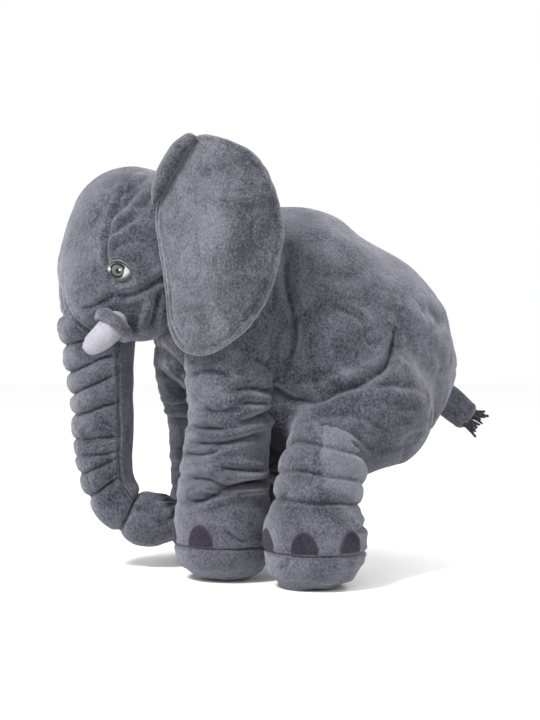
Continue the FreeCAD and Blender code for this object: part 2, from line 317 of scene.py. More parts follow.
# ---------------- folds and seams
ROLL_HEIGHT, ROLL_PLACE, ROLL_WIDTH = 0.45, 2.3, 1.1  # of a fold's rolls, as shares of its depth and width
FOLD_SHADE = 0.6  # how much painted shade darkens a fold
FOLD_SHADE_WIDTH = 0.6  # of the dark line, as a share of the fold's width
FADE = 0.22  # the share of a fold's length over which an open end fades
STITCH_VALLEYS = ((0.62, 2.6), (0.55, 8.5))  # (share of the depth, width) of the narrow and the wide valley
STITCH_SHADE_WIDTH = 1.8


def fold_profile(d, width, depth):
    """A valley with a soft roll of cloth on each side."""
    d = d / width
    return depth * (ROLL_HEIGHT * np.exp(-((abs(d) - ROLL_PLACE) / ROLL_WIDTH) ** 2) - np.exp(-d * d))


def line_distance(p, line):
    """Distance in the YZ plane to a line of (y, z) points, and the share of the line passed there."""
    line = curve([(y, z, 0) for y, z in line], 4 * len(line) + 4)[:, :2]
    lengths = np.linalg.norm(np.diff(line, axis=0), axis=1)
    start = np.r_[0, np.cumsum(lengths)]
    best, place = np.full(len(p), 1e9), np.zeros(len(p))
    q = p[:, 1:3]
    for k, length in enumerate(lengths):
        along = (line[k + 1] - line[k]) / length
        t = np.clip((q - line[k]) @ along, 0, length)
        d = np.linalg.norm(q - line[k] - t[:, None] * along, axis=1)
        nearer = d < best
        best = np.where(nearer, d, best)
        place = np.where(nearer, (start[k] + t) / start[-1], place)
    return best, place


class Skin:
    """A surface that gathers folds, seams and lumps, and then moves along its normals. It also gathers
    painted shade and light for its colour.
    """

    def __init__(self, points, quads):
        self.points, self.quads = points, quads
        self.normal = normals(points, quads)
        self.lift = np.zeros(len(points))
        self.painted_light_and_trim = np.zeros(len(points))

    def fold(self, line, width, depth, dark, facing=0.15, open_ends=(1, 1)):
        """A fold along a line of (y, z), where the surface faces outward more than `facing`."""
        d, place = line_distance(self.points, line)
        outward = self.normal[:, 0] * np.sign(self.points[:, 0] + 1e-6)
        side = smooth_step(facing - 0.15, facing + 0.25, outward)
        fade = np.ones(len(d))
        if open_ends[0]:
            fade *= smooth_step(0, FADE, place)
        if open_ends[1]:
            fade *= smooth_step(0, FADE, 1 - place)
        fade *= side
        self.groove(d, width, depth, dark, fade)

    def groove(self, d, width, depth, dark=0.6, keep=1.0):
        """A valley where a distance of any kind is zero, with painted shade along its floor."""
        self.lift += fold_profile(d, width, depth) * keep
        self.painted_light_and_trim -= FOLD_SHADE * dark * np.exp(-(d / (FOLD_SHADE_WIDTH * width)) ** 2) * keep

    def stitch(self, d, depth, dark=0.6, keep=1.0):
        """A stitched line across padding: a narrow valley at the bottom of a wide one, with painted shade
        along the stitch.
        """
        valleys = sum(share * np.exp(-((d / width) ** 2)) for share, width in STITCH_VALLEYS)
        self.lift -= depth * valleys * keep
        self.painted_light_and_trim -= FOLD_SHADE * dark * np.exp(-((d / STITCH_SHADE_WIDTH) ** 2)) * keep

    def lump(self, size, height, seed):
        """Soft padding that swells and sinks."""
        self.lift += height * lumps(self.points, size, seed)

    def wrinkle(self, size, height, seed, stretch=(1, 1, 1), keep=1.0):
        """Random thin creases: ridged noise, stretched along the cloth's pull, each with a little painted
        shade.
        """
        ridge = 1 - abs(lumps(self.points * stretch, size, seed)) * 2.2
        sharp = np.clip(ridge, 0, 1) ** 3
        self.lift -= height * sharp * keep
        self.painted_light_and_trim -= 0.10 * sharp * keep

    def done(self):
        """The points, moved along the normals by all that was gathered."""
        return self.points + self.normal * self.lift[:, None]


# ---------------- materials
def new_material(name):
    """A material with its node tree and its shader."""
    material = bpy.data.materials.new(name)
    material.use_nodes = True
    tree = material.node_tree
    return material, tree, tree.nodes["Principled BSDF"]


def plush(name, dark, light, sheen=0.55):
    """Short brushed pile: mottled tone, fine fibres, a pale bloom where it is seen edge on, and each mesh's
    painted shade and light (on the nails, their lighter trim).
    """
    material, tree, shader = new_material(name)
    node, link = tree.nodes.new, tree.links.new
    place = node("ShaderNodeTexCoord")

    def noise(scale, detail=2.0, rough=0.5, warp=0.0):
        item = node("ShaderNodeTexNoise")
        item.inputs["Scale"].default_value = scale
        item.inputs["Detail"].default_value = detail
        item.inputs["Roughness"].default_value = rough
        item.inputs["Distortion"].default_value = warp
        link(place.outputs["Object"], item.inputs["Vector"])
        return item.outputs["Fac"]

    def maths(kind, a, b):
        item = node("ShaderNodeMath")
        item.operation = kind
        for socket, value in zip(item.inputs, (a, b)):
            if isinstance(value, (int, float)):
                socket.default_value = value
            else:
                link(value, socket)
        return item.outputs[0]

    brushed = noise(16, 3, 0.6, 1.2)
    patches = noise(55, 4, 0.6, 0.8)
    tufts = noise(420, 3, 0.7)
    fibres = noise(1300, 2, 0.8)
    shading_and_trim = node("ShaderNodeAttribute")
    shading_and_trim.attribute_name = "shading_and_trim"
    tone = maths("MULTIPLY", maths("SUBTRACT", brushed, 0.5), 1.1)
    for layer, amount in ((patches, 0.7), (tufts, 1.9), (fibres, 1.3)):
        tone = maths("ADD", tone, maths("MULTIPLY", maths("SUBTRACT", layer, 0.5), amount))
    # painted shade and light carried by each mesh: darker in folds and hollows, lighter on lit rims and
    # sides; on the nails, their lighter trim
    tone = maths("ADD", tone, maths("MULTIPLY", shading_and_trim.outputs["Fac"], 0.9))
    tone = maths("ADD", tone, 0.45)
    ramp = node("ShaderNodeValToRGB")
    ramp.color_ramp.elements[0].color = (*dark, 1)
    ramp.color_ramp.elements[0].position = 0.0
    ramp.color_ramp.elements[1].color = (*light, 1)
    ramp.color_ramp.elements[1].position = 1.0
    link(tone, ramp.inputs["Fac"])
    link(ramp.outputs["Color"], shader.inputs["Base Color"])
    height = maths("ADD", maths("MULTIPLY", tufts, 1.0), maths("MULTIPLY", fibres, 0.5))
    bump = node("ShaderNodeBump")
    bump.inputs["Strength"].default_value = 0.8
    bump.inputs["Distance"].default_value = 0.002
    link(height, bump.inputs["Height"])
    link(bump.outputs["Normal"], shader.inputs["Normal"])
    rough = maths("ADD", maths("MULTIPLY", patches, 0.2), 0.75)
    link(rough, shader.inputs["Roughness"])
    shader.inputs["Specular IOR Level"].default_value = 0.15
    shader.inputs["Sheen Weight"].default_value = sheen
    shader.inputs["Sheen Roughness"].default_value = 0.35
    shader.inputs["Sheen Tint"].default_value = (0.80, 0.78, 0.88, 1)
    return material


GREY_DARK, GREY_LIGHT = (0.018, 0.018, 0.026), (0.150, 0.152, 0.185)
PLUSH = plush("grey_plush", GREY_DARK, GREY_LIGHT)
EAR_PLUSH = plush("ear_plush", (0.026, 0.026, 0.035), (0.160, 0.162, 0.188))
TUSK_CLOTH = plush("tusk_velour", (0.25, 0.245, 0.285), (0.41, 0.405, 0.445), 0.2)
NAIL_CLOTH = plush("nail_satin", (0.008, 0.006, 0.012), (0.045, 0.038, 0.054), 0.1)
YARN = plush("tassel_yarn", (0.012, 0.012, 0.016), (0.085, 0.083, 0.095), 0.3)
EYE_WHITE = plush("eye_white_thread", (0.34, 0.36, 0.34), (0.58, 0.60, 0.58), 0.1)
EYE_IRIS = plush("eye_iris_thread", (0.045, 0.050, 0.047), (0.135, 0.148, 0.138), 0.1)
EYE_DARK = plush("eye_outline_thread", (0.006, 0.006, 0.007), (0.022, 0.022, 0.024), 0.1)
EYE_LID = plush("eye_lid_thread", (0.10, 0.105, 0.10), (0.21, 0.22, 0.21), 0.2)
EYE_RING = plush("eye_ring_thread", (0.16, 0.17, 0.16), (0.32, 0.34, 0.31), 0.2)


# ---------------- torso with haunches
def torso_field(p):
    q = both(p)
    d = egg(q, (0, 20, 300), (104, 90, 99))
    d = joined(d, egg(q, (0, 80, 264), (122, 116, 141)), 26)
    d = joined(d, egg(q, (0, 133, 233), (122, 134, 130)), 26)
    d = joined(d, egg(q, (0, 84, 196), (108, 104, 108)), 20)
    d = joined(d, egg(q, (24, -22, 262), (62, 54, 66)), 16)
    belly = egg(q, (70, 114, 252), (66, 64, 58))
    haunch = egg(q, (88, 152, 186), (57, 72, 74))
    haunch = joined(haunch, limb(q, (98, 142, 176), (118, 109.5, 145), 50, 46), 24)
    d = joined(d, haunch, 10)
    return joined(d, belly, 7)


HAUNCH_FOLD = [(180, 288), (173, 247), (162, 227), (140, 214), (113, 204), (90, 192), (66, 192), (48, 202)]
# folds on the torso's sides: what Skin.fold takes, as (line of (y, z), width, depth, dark, ...)
TORSO_FOLDS = [
    (HAUNCH_FOLD, 4.2, 7.5, 0.5, 0.15, (1, 0)),
    ([(176, 292), (186, 276), (190, 250)], 6.0, 3.0, 0.15),
    ([(101, 288), (120, 284), (140, 274), (148, 251), (160, 244)], 4.0, 2.4, 0.12),
    ([(112, 204), (152, 208), (190, 206)], 4.5, 4.0, 0.2),
    ([(64, 366), (61, 311), (69, 268), (63, 233), (52, 210)], 5.0, 7.0, 0.4),
    ([(96, 156), (110, 168), (124, 186), (140, 206)], 2.0, 1.6, 0.2),
    ([(62, 156), (94, 161), (117, 157), (150, 136)], 2.6, 3.0, 0.3),
    ([(72, 172), (104, 178), (140, 172), (168, 150)], 3.5, 2.6, 0.15),
    ([(150, 196), (170, 186), (200, 184)], 6.0, 3.2, 0.1),
    ([(196, 250), (206, 226), (210, 196)], 7.0, 3.0, 0.1),
    ([(204, 290), (222, 284), (242, 266)], 6.0, 2.4, 0.1),
    ([(214, 250), (230, 236), (240, 214)], 6.0, 2.4, 0.1),
    ([(84, 332), (112, 320), (140, 326)], 7.0, 2.4, 0.1),
    ([(84, 244), (96, 218), (108, 204)], 5.0, 2.0, 0.1),
    ([(78, 290), (84, 262), (82, 236)], 4.0, 2.6, 0.1),
]
# folds across the chest, from (y, z) to (y, z)
CHEST_FOLDS = (((-82, 250), (-40, 214)), ((-78, 276), (-38, 236)), ((-74, 222), (-44, 196)))
CHEST_BOW = 4  # how far the middle of a chest fold is bowed up
BELLY_SEAM_X = 55


def torso():
    points, quads = mesh_of(torso_field, (-165, -95, 60), (165, 290, 425), 3.0)
    skin = Skin(points, quads)
    x, y, z = points.T
    skin.lump(70, 3.0, 11)
    skin.lump(32, 2.2, 12)
    for fold in TORSO_FOLDS:
        skin.fold(*fold)
    for low, high in CHEST_FOLDS:
        halfway = ((low[0] + high[0]) / 2, (low[1] + high[1]) / 2 + CHEST_BOW)
        skin.fold([low, halfway, high], 4.0, 4.5, 0.4, facing=-0.6)
    middle = abs(x)
    top = smooth_step(0.0, 0.5, skin.normal[:, 2])
    skin.groove(middle, 1.8, 1.8, 0.4, keep=top)
    under = smooth_step(0.2, 0.6, -skin.normal[:, 2])
    skin.groove(middle - BELLY_SEAM_X, 1.8, 1.6, 0.3, keep=under)
    rump = smooth_step(150, 200, y) * smooth_step(0.1, 0.5, skin.normal[:, 1])
    skin.groove(middle, 1.8, 1.8, 0.3, keep=rump * (1 - top))
    skin.wrinkle(34, 2.0, 13, (1, 1, 1.6), keep=smooth_step(360, 250, z))
    # painted shade: darker under the belly near the middle, darker towards the bottom, and darker below a
    # slanted line along the flank's lower edge
    skin.painted_light_and_trim -= 0.9 * smooth_step(205, 150, z) * smooth_step(112, 84, middle)
    skin.painted_light_and_trim -= 0.22 * smooth_step(170, 120, z)
    skin.painted_light_and_trim -= 0.18 * smooth_step(214, 196, z + 0.35 * (y - 140)) * smooth_step(130, 190, z)
    points = skin.done()
    nodes = ["torso_side_left", "torso_side_right", "torso_belly_panel", "torso_filling"]
    nodes += [f"{part}_{side}" for part in ("thigh_cover", "thigh_filling") for side, _ in SIDES]
    build("torso_cover", points, quads, PLUSH, "torso", nodes, skin.painted_light_and_trim)


# ---------------- head
def head_field(p):
    q = both(p)
    d = egg(q, (0, -92, 360), (86, 77, 86))
    d = joined(d, egg(q, (0, -112, 390), (62, 52, 51)), 22)
    d = joined(d, egg(q, (0, -108, 338), (84, 71, 66)), 24)
    d = joined(d, egg(q, (30, -118, 300), (50, 56, 44)), 22)
    d = joined(d, limb(q, (0, -130, 322), (0, -134, 284), 50, 40), 18)
    d = joined(d, egg(q, (40, -84, 292), (40, 34, 36)), 16)
    return d


# the seam of the forehead panel, as a line of (y, z)
FOREHEAD_SEAM = [(-84, 446), (-100, 436), (-116, 399), (-125, 377), (-129, 348), (-125, 320), (-122, 300)]
# folds on the head's sides, likewise: the forehead's, the mouth, the tusk's sleeve and the cheek's
HEAD_FOLDS = [
    (FOREHEAD_SEAM, 2.4, 3.0, 0.5, 0.0),
    ([(-128, 362), (-112, 376), (-92, 388)], 3.4, 4.0, 0.3),
    ([(-122, 384), (-106, 402), (-88, 422)], 3.4, 4.4, 0.3),
    ([(-114, 404), (-98, 420), (-84, 434)], 3.2, 3.8, 0.3),
    ([(-127, 348), (-112, 356), (-92, 360)], 4.0, 2.0, 0.4),
    ([(-70, 420), (-84, 404), (-90, 392)], 3.2, 3.2, 0.3),
    ([(-60, 326), (-78, 314), (-100, 303), (-123, 300)], 3.6, 5.0, 0.4, 0.1, (0, 1)),
    ([(-122, 300), (-140, 291), (-158, 287)], 3.0, 3.0, 0.65, -0.1, (0, 1)),
    ([(-72, 310), (-74, 292), (-82, 264)], 3.6, 5.0, 0.4),
    ([(-92, 300), (-94, 280), (-100, 262)], 3.6, 2.6, 0.3),
    ([(-128, 318), (-112, 315), (-98, 322)], 3.0, 1.4, 0.3),
]
# pleats on the front of the head, where the trunk starts: (distance from the middle, top height)
TRUNK_PLEATS = ((0, 322), (11, 320), (22, 317), (33, 312), (45, 304))


def head():
    points, quads = mesh_of(head_field, (-105, -205, 225), (105, 15, 465), 2.7)
    skin = Skin(points, quads)
    x, y, z = points.T
    skin.lump(60, 2.0, 21)
    skin.lump(26, 0.9, 22)
    for fold in HEAD_FOLDS:
        skin.fold(*fold)
    for offset, height in TRUNK_PLEATS:
        lower = smooth_step(height + 6, height - 22, z) * smooth_step(0.1, 0.5, -skin.normal[:, 1])
        skin.groove(abs(x) - offset - 0.08 * (height - z), 2.4, 3.0, 0.5, keep=lower)
    back_seam = smooth_step(-70, -50, y)
    skin.groove(abs(x), 1.8, 1.6, 0.4, keep=back_seam)
    skin.wrinkle(26, 1.0, 23, (1, 1.4, 1), keep=0.6)
    points = skin.done()
    nodes = ["forehead_panel", "cheek_panel_left", "cheek_panel_right", "head_filling", "lower_lip"]
    build("head_cover", points, quads, PLUSH, "head", nodes, skin.painted_light_and_trim)


ONTO_HEAD_STEPS = 6


def onto_head(points, lift):
    """Drops points onto the head's surface, this far above it."""
    for _ in range(ONTO_HEAD_STEPS):
        points = points - (head_field(points) - lift)[:, None] * slope(head_field, points)
    return points


PATCH_RINGS, PATCH_SEGMENTS = 8, 48
PATCH_BACK, PATCH_BACK_SPREAD = -1.5, 1.02  # of its hidden back: height above the head, share of the outline


def patch_on_head(name, middle, tangent, outline, lift, looks, mirror, puff):
    """A thin padded patch, with its outline given by (angle -> (right, up)) about a middle."""
    right, up = (np.asarray(v, float) for v in tangent)
    shape = np.array([outline(a) for a in circle(PATCH_SEGMENTS)])
    shares = [r / PATCH_RINGS for r in range(1, PATCH_RINGS + 1)]
    layers = [(share, lift + puff * (1 - share**4)) for share in shares] + [(PATCH_BACK_SPREAD, PATCH_BACK)]
    middle = np.asarray(middle, float)
    rows = []
    for share, height in layers:
        flat = middle + share * (shape[:, :1] * right + shape[:, 1:] * up)
        rows.append(onto_head(flat, height))
    faces = closed_faces(len(layers), PATCH_SEGMENTS)
    top = onto_head(middle[None], lift + puff)
    bottom = onto_head(middle[None], PATCH_BACK)
    points = np.concatenate(rows + [top, bottom])
    return build(name, points, faces, looks, "head", mirror=mirror)


EYE_MIDDLE = (82, -114, 328)
EYE_HALF_WIDTH = 10.5
EYE_HALF_HEIGHT = 8.0
EYE_RIGHT, EYE_UP = (0.18, 0.98, 0.0), (-0.12, 0, 1.0)  # the directions its outlines are drawn in


def almond(wide, high, right=0.0, up=0.0, slant=0.14):
    """An eye shape with pointed corners, and lower at its right end."""
    def outline(a):
        c, s = math.cos(a), math.sin(a)
        return (right + wide * c, up + high * s * (1 - 0.38 * c * c) - slant * wide * c)
    return outline


def disc(radius, right, up):
    return lambda a: (right + radius * math.cos(a), up + radius * math.sin(a))


def eyes():
    width, height = EYE_HALF_WIDTH, EYE_HALF_HEIGHT
    # (name, outline, height above the head, looks, how far its middle puffs up)
    layers = (
        ("lid", almond(width + 2.6, height + 2.8, 0.2, 0.6), 0.0, EYE_LID, 0.8),
        ("brow", almond(width + 1.7, height + 1.9, 0.0, 0.4), 0.5, EYE_DARK, 0.9),
        ("rim", almond(width + 1.0, height + 0.7), 0.9, EYE_RING, 1.0),
        ("white", almond(width, height - 0.6), 1.2, EYE_WHITE, 1.2),
        ("outline", disc(8.2, -1.2, 0.3), 1.4, EYE_DARK, 1.3),
        ("iris", disc(7.0, -1.2, 0.3), 1.6, EYE_IRIS, 1.5),
        ("pupil", disc(3.6, -0.8, 0.0), 2.0, EYE_DARK, 1.5),
        ("glint", disc(1.5, 1.6, 1.4), 2.5, EYE_WHITE, 1.4),
    )
    for side, sign in SIDES:
        for part, outline, lift, looks, puff in layers:
            name = f"eye_{part}_{side}"
            item = patch_on_head(name, EYE_MIDDLE, (EYE_RIGHT, EYE_UP), outline, lift, looks, sign, puff)
            if part == "lid":
                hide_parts(f"eye_{side}")


# ---------------- tusks
TUSK_RINGS, TUSK_SEGMENTS = 60, 48
TUSK_PATH = [
    (66, -112, 281, 7, 7), (69, -116, 276, 13, 13), (72, -123, 267, 14, 14), (75, -134, 256, 13, 13),
    (76, -142, 250, 11.2, 11.2), (76.3, -148, 246.5, 8.2, 8.2), (76.4, -151.5, 245.5, 4.6, 4.6),
    (76.4, -153, 245, 1.2, 1.2),
]
SLEEVE_MIDDLE = (71, -121, 270.5)
SLEEVE_DIRECTION = (0.25, -0.62, -0.74)
SLEEVE_RADIUS = 17.5
SLEEVE_ROLL = 6.2


def sleeve_ring():
    """The rolled end of the plush sleeve round a tusk's root."""
    turns, segments = 96, 32
    axis = np.array(SLEEVE_DIRECTION) / np.linalg.norm(SLEEVE_DIRECTION)
    first = np.cross(axis, (1, 0, 0))
    first /= np.linalg.norm(first)
    second = np.cross(axis, first)
    t = circle(turns)[:, None, None]
    a = circle(segments)[None, :, None]
    out = first * np.cos(t) + second * np.sin(t)
    roll = SLEEVE_ROLL * (1 + 0.08 * np.sin(7 * t))
    points = np.array(SLEEVE_MIDDLE) + out * (SLEEVE_RADIUS + roll * np.cos(a))
    points = points + axis * roll * 1.15 * np.sin(a)
    i, j = np.arange(turns)[:, None], np.arange(segments)[None]
    after, beside = (i + 1) % turns, (j + 1) % segments
    here, there = i * segments, after * segments
    quads = np.stack([here + j, here + beside, there + beside, there + j], -1)
    return points.reshape(-1, 3), quads.reshape(-1, 4)


def tusks():
    for side, sign in SIDES:
        points, quads, _ = tube(TUSK_PATH, TUSK_RINGS, TUSK_SEGMENTS)
        skin = Skin(points, quads)
        skin.lump(14, 0.7, 31)
        points, faces = capped(skin.done(), quads, TUSK_SEGMENTS)
        nodes = [f"tusk_{side}"]
        build(f"tusk_cloth_{side}", points, faces, TUSK_CLOTH, "head", nodes, mirror=sign)
        points, quads = sleeve_ring()
        skin = Skin(points, quads)
        if (skin.normal * (points - points.mean(0))).sum() < 0:
            skin = Skin(points, quads[:, ::-1])
        skin.lump(12, 0.9, 32)
        name, nodes = f"tusk_sleeve_{side}", [f"tusk_collar_{side}"]
        build(name, skin.done(), skin.quads, PLUSH, "head", nodes, mirror=sign)


# ---------------- trunk
TRUNK_PATH = [
    (0, -131, 318, 30, 30), (0, -134, 300, 42, 42), (0, -136.5, 284, 44, 45.5), (0, -138, 262, 41, 44),
    (0, -137, 235, 37, 40), (0, -135.5, 211, 35, 37), (0, -134, 188, 34, 35), (0, -132.5, 155, 33.5, 34),
    (0, -132, 122, 32.5, 32.5), (0, -129, 103, 30.5, 30), (0, -121, 83, 27.5, 29.5),
    (0, -106, 66, 25.5, 29.5), (0, -84, 56, 24.5, 30), (0, -66, 58, 23.5, 28), (0, -56, 63, 20, 23),
    (0, -50, 67, 13, 15), (0, -47.5, 69, 5, 5),
]
TRUNK_SEGMENTS = 112
TRUNK_RINGS = 250
TRUNK_TOP = TRUNK_PATH[0][2]
# where the front panel is stitched across: (height, tilt, depth)
TRUNK_STITCHES = [
    (281, 0.10, 6.5), (255, 0.20, 6.5), (229, 0.30, 6.0), (204, 0.33, 5.6), (178, 0.24, 5.4),
    (146, 0.06, 4.4), (115, 0.30, 4.8),
]
# and on the bend at the bottom: (distance along the trunk, tilt, depth)
BEND_STITCHES = [(188, 0.1, 3.8), (222, 0.25, 5.6)]
NUB_START = 262  # the distance along, where the padded nub at the end begins
TRUNK_CUTS = (229, 146)  # the heights of the two stitches where the trunk's three pieces meet
PANEL_SEAM = -0.52  # where the side seam runs, from -1 at the trunk's rear to 1 at its front


def trunk():
    points, quads, facts = tube(TRUNK_PATH, TRUNK_RINGS, TRUNK_SEGMENTS)
    skin = Skin(points, quads)
    distance, angle, radius = facts.T
    front = -np.cos(angle)
    forward = front * radius
    panel = smooth_step(PANEL_SEAM - 0.05, PANEL_SEAM + 0.25, front)
    wobble = 2.0 * lumps(points, 22, 41)
    for height, tilt, depth in TRUNK_STITCHES:
        d = distance - (TRUNK_TOP - height) - tilt * (forward - 12) + wobble
        skin.stitch(d, depth, 0.9, keep=panel)
    for place, tilt, depth in BEND_STITCHES:
        d = distance - place - tilt * forward + wobble
        skin.stitch(d, depth, 0.9, keep=panel)
    skin.lift += 1.5 * panel
    nub = distance - NUB_START - 0.12 * forward + wobble
    skin.stitch(nub, 6.5, 0.9)
    seam = abs(front - PANEL_SEAM) * radius / np.sqrt(1 - PANEL_SEAM**2)
    above_nub = smooth_step(NUB_START, NUB_START - 12, distance) * smooth_step(60, 80, distance)
    skin.groove(seam, 1.8, 2.2, 0.5, keep=above_nub)
    end = distance.max()
    gather = smooth_step(end - 34, end - 10, distance)
    skin.lift += 1.8 * np.sin(13 * angle + 2 * lumps(points, 18, 42)) * gather
    # painted shade in the gathered end
    skin.painted_light_and_trim -= 0.9 * smooth_step(end - 16, end - 4, distance)
    skin.lump(40, 1.2, 43)
    skin.lump(16, 0.8, 44)
    skin.wrinkle(16, 0.9, 45, (1, 1, 1.8), keep=panel)
    points = skin.done()
    along = distance[::TRUNK_SEGMENTS]
    cuts = [int(np.argmin(abs(along - (TRUNK_TOP - height)))) for height in TRUNK_CUTS]
    # (name, first and last ring, the body above and below, two heights on it, CAD pieces)
    stretches = (
        ("trunk_top", 0, cuts[0], "head", "trunk_upper", 276, 248, "upper"),
        ("trunk_middle", cuts[0], cuts[1], "trunk_upper", "trunk_middle", 204, 176, "middle"),
        ("trunk_end", cuts[1], TRUNK_RINGS - 1, "trunk_middle", "trunk_tip", 134, 106, "tip"),
    )
    for name, first, last, above, below, start_z, end_z, cad in stretches:
        part = slice(first * TRUNK_SEGMENTS, (last + 1) * TRUNK_SEGMENTS)
        painted_light_and_trim = skin.painted_light_and_trim[part]
        part_quads = quads[:(last - first) * TRUNK_SEGMENTS]
        closed, faces = capped(points[part], part_quads, TRUNK_SEGMENTS)
        nodes = [f"trunk_{cad}_{layer}" for layer in ("front", "back", "filling")]
        item = build(name, closed, faces, PLUSH, None, nodes, painted_light_and_trim)
        bend_between(item)


# ---------------- ears
EAR_HINGE = (89.5, -72, 351)
EAR_MIDDLE = (72.0, -2.0)
# (along the ear from its hinge, up)
EAR_OUTLINE = [
    (-4, 40), (2, 66), (14, 92), (34, 110), (60, 115), (95, 107), (119, 92), (138, 68), (148, 37), (152, 6),
    (145, -27), (130, -61), (110, -86), (88, -104), (60, -114), (34, -110), (18, -90), (8, -48), (2, -5),
]
EAR_THICK = 6.5
EAR_FLARE_FRONT, EAR_FLARE_BACK = 46, 27  # degrees out from the body, at the hinge and at the rear edge
EAR_SEGMENTS, EAR_RINGS = 260, 64
# soft dents in the outer side: (place, half size, depth)
EAR_DENTS = (
    ((118, 40), (10, 26), 3.0), ((112, -6), (14, 12), 2.4), ((60, -74), (12, 20), 2.2),
    ((84, 78), (22, 7), 2.2),
)
# the rolled top front edge: (along the ear, up, half width, half height)
EAR_ROLL_PATH = [
    (0, 46, 2, 2), (4, 54, 6, 6), (13, 72, 9.5, 8), (28, 92, 10, 8.5), (41, 105, 8.5, 7.5), (51, 111, 6, 5),
    (56, 112, 1.5, 1.5),
]
EAR_ROLL_RINGS, EAR_ROLL_SEGMENTS = 90, 56
EAR_ROLL_LIFT = 3.0  # how far the roll's middle lies above the ear's outer side


def ear_place(s, v, n):
    """From (along the ear, up, out of it) to the modelling frame."""
    table = np.linspace(-20, 170, 400)
    flare = np.radians(EAR_FLARE_FRONT + (EAR_FLARE_BACK - EAR_FLARE_FRONT) * np.clip(table / 150, 0, 1))
    step = table[1] - table[0]
    xs, ys = np.cumsum(np.sin(flare)) * step, np.cumsum(np.cos(flare)) * step
    xs -= np.interp(0, table, xs)
    ys -= np.interp(0, table, ys)
    turn = np.interp(s, table, flare)
    x = EAR_HINGE[0] + np.interp(s, table, xs) + n * np.cos(turn)
    y = EAR_HINGE[1] + np.interp(s, table, ys) - n * np.sin(turn)
    return np.stack([x, y, EAR_HINGE[2] + v], -1)


def ear_layers():
    """The ear's points ring by ring: each one's share of the way out, along, up and out of the ear."""
    outline = np.array(EAR_OUTLINE, float)
    loop = np.concatenate([outline, outline[:1]])
    longer = np.concatenate([loop[-3:-1], loop, loop[1:3]])
    smooth = curve(np.c_[longer, np.zeros(len(longer))], 900)[:, :2]
    polar = smooth - EAR_MIDDLE
    angles = np.arctan2(polar[:, 1], polar[:, 0])
    order = np.argsort(angles)
    angle = np.linspace(-math.pi, math.pi, EAR_SEGMENTS, endpoint=False)
    reach = np.interp(angle, angles[order], np.linalg.norm(polar, axis=1)[order], period=2 * math.pi)
    reach = sum(np.roll(reach, k) for k in range(-3, 4)) / 7
    rays = np.array([(math.cos(a), math.sin(a)) for a in angle])
    share = np.linspace(0, 1, EAR_RINGS + 1)[1:] ** 0.85
    thick = EAR_THICK * np.sqrt(np.clip(1 - share**7, 0, 1)) * (0.75 + 0.35 * share**2)
    outer_side = list(zip(share, thick))
    layers = outer_side + [(r, -t) for r, t in outer_side[-2::-1]]
    share_of = np.repeat([r for r, _ in layers], EAR_SEGMENTS)
    n = np.repeat([t for _, t in layers], EAR_SEGMENTS)
    reach = np.tile(reach, len(layers))
    s, v = (EAR_MIDDLE + (share_of * reach)[:, None] * np.tile(rays, (len(layers), 1))).T
    return len(layers), share_of, reach, s, v, n


def ears():
    count, share_of, reach, s, v, n = ear_layers()
    outer = n > 0
    quads = ring_quads(count, EAR_SEGMENTS, turned=True)
    skin = Skin(ear_place(s, v, n), quads)
    skin.groove((share_of - 0.94) * reach, 2.2, 1.4, 0.25)
    # painted highlight along the ear's very edge
    skin.painted_light_and_trim += 0.45 * smooth_step(0.965, 1.0, share_of)
    skin.lump(38, 2.2, 51)
    skin.lump(18, 0.8, 52)
    skin.wrinkle(30, 1.3, 53, keep=0.8)
    # painted light and shade on the outer side: lighter in the middle, darker towards the rear edge and at
    # the bottom
    centre = np.exp(-(((s - 55) / 48) ** 2 + ((v - 5) / 85) ** 2))
    skin.painted_light_and_trim += np.where(outer, 0.12 * centre - 0.22 * smooth_step(72, 112, s), 0)
    skin.painted_light_and_trim -= np.where(outer, 0.10 * smooth_step(-20, -80, v), 0)
    hollow = smooth_step(110, 60, v)
    for (cs, cv), (ws, wv), depth in EAR_DENTS:
        spot = np.exp(-(((s - cs) / ws) ** 2 + ((v - cv) / wv) ** 2))
        skin.lift -= depth * spot * outer * hollow
        # painted shade in each dent
        skin.painted_light_and_trim -= 0.15 * spot * outer
    points = skin.done()
    middles = [ear_place(*np.array([[*EAR_MIDDLE, n]]).T) for n in (EAR_THICK * 0.75, -EAR_THICK * 0.75)]
    faces = closed_faces(count, EAR_SEGMENTS)
    points = np.concatenate([points] + middles)
    # painted light on the outer middle point as well
    painted_light_and_trim = np.r_[skin.painted_light_and_trim, 0.4, 0]
    for side, sign in SIDES:
        body = f"ear_{side}"
        nodes = [f"ear_{part}_{side}" for part in ("outer", "inner", "wadding")]
        build(f"ear_{side}_cover", points, faces, EAR_PLUSH, body, nodes, painted_light_and_trim, sign)
        roll_points, roll_faces, roll_painted_light = ear_roll()
        build(f"ear_{side}_fold", roll_points, roll_faces, EAR_PLUSH, body, (), roll_painted_light, sign)


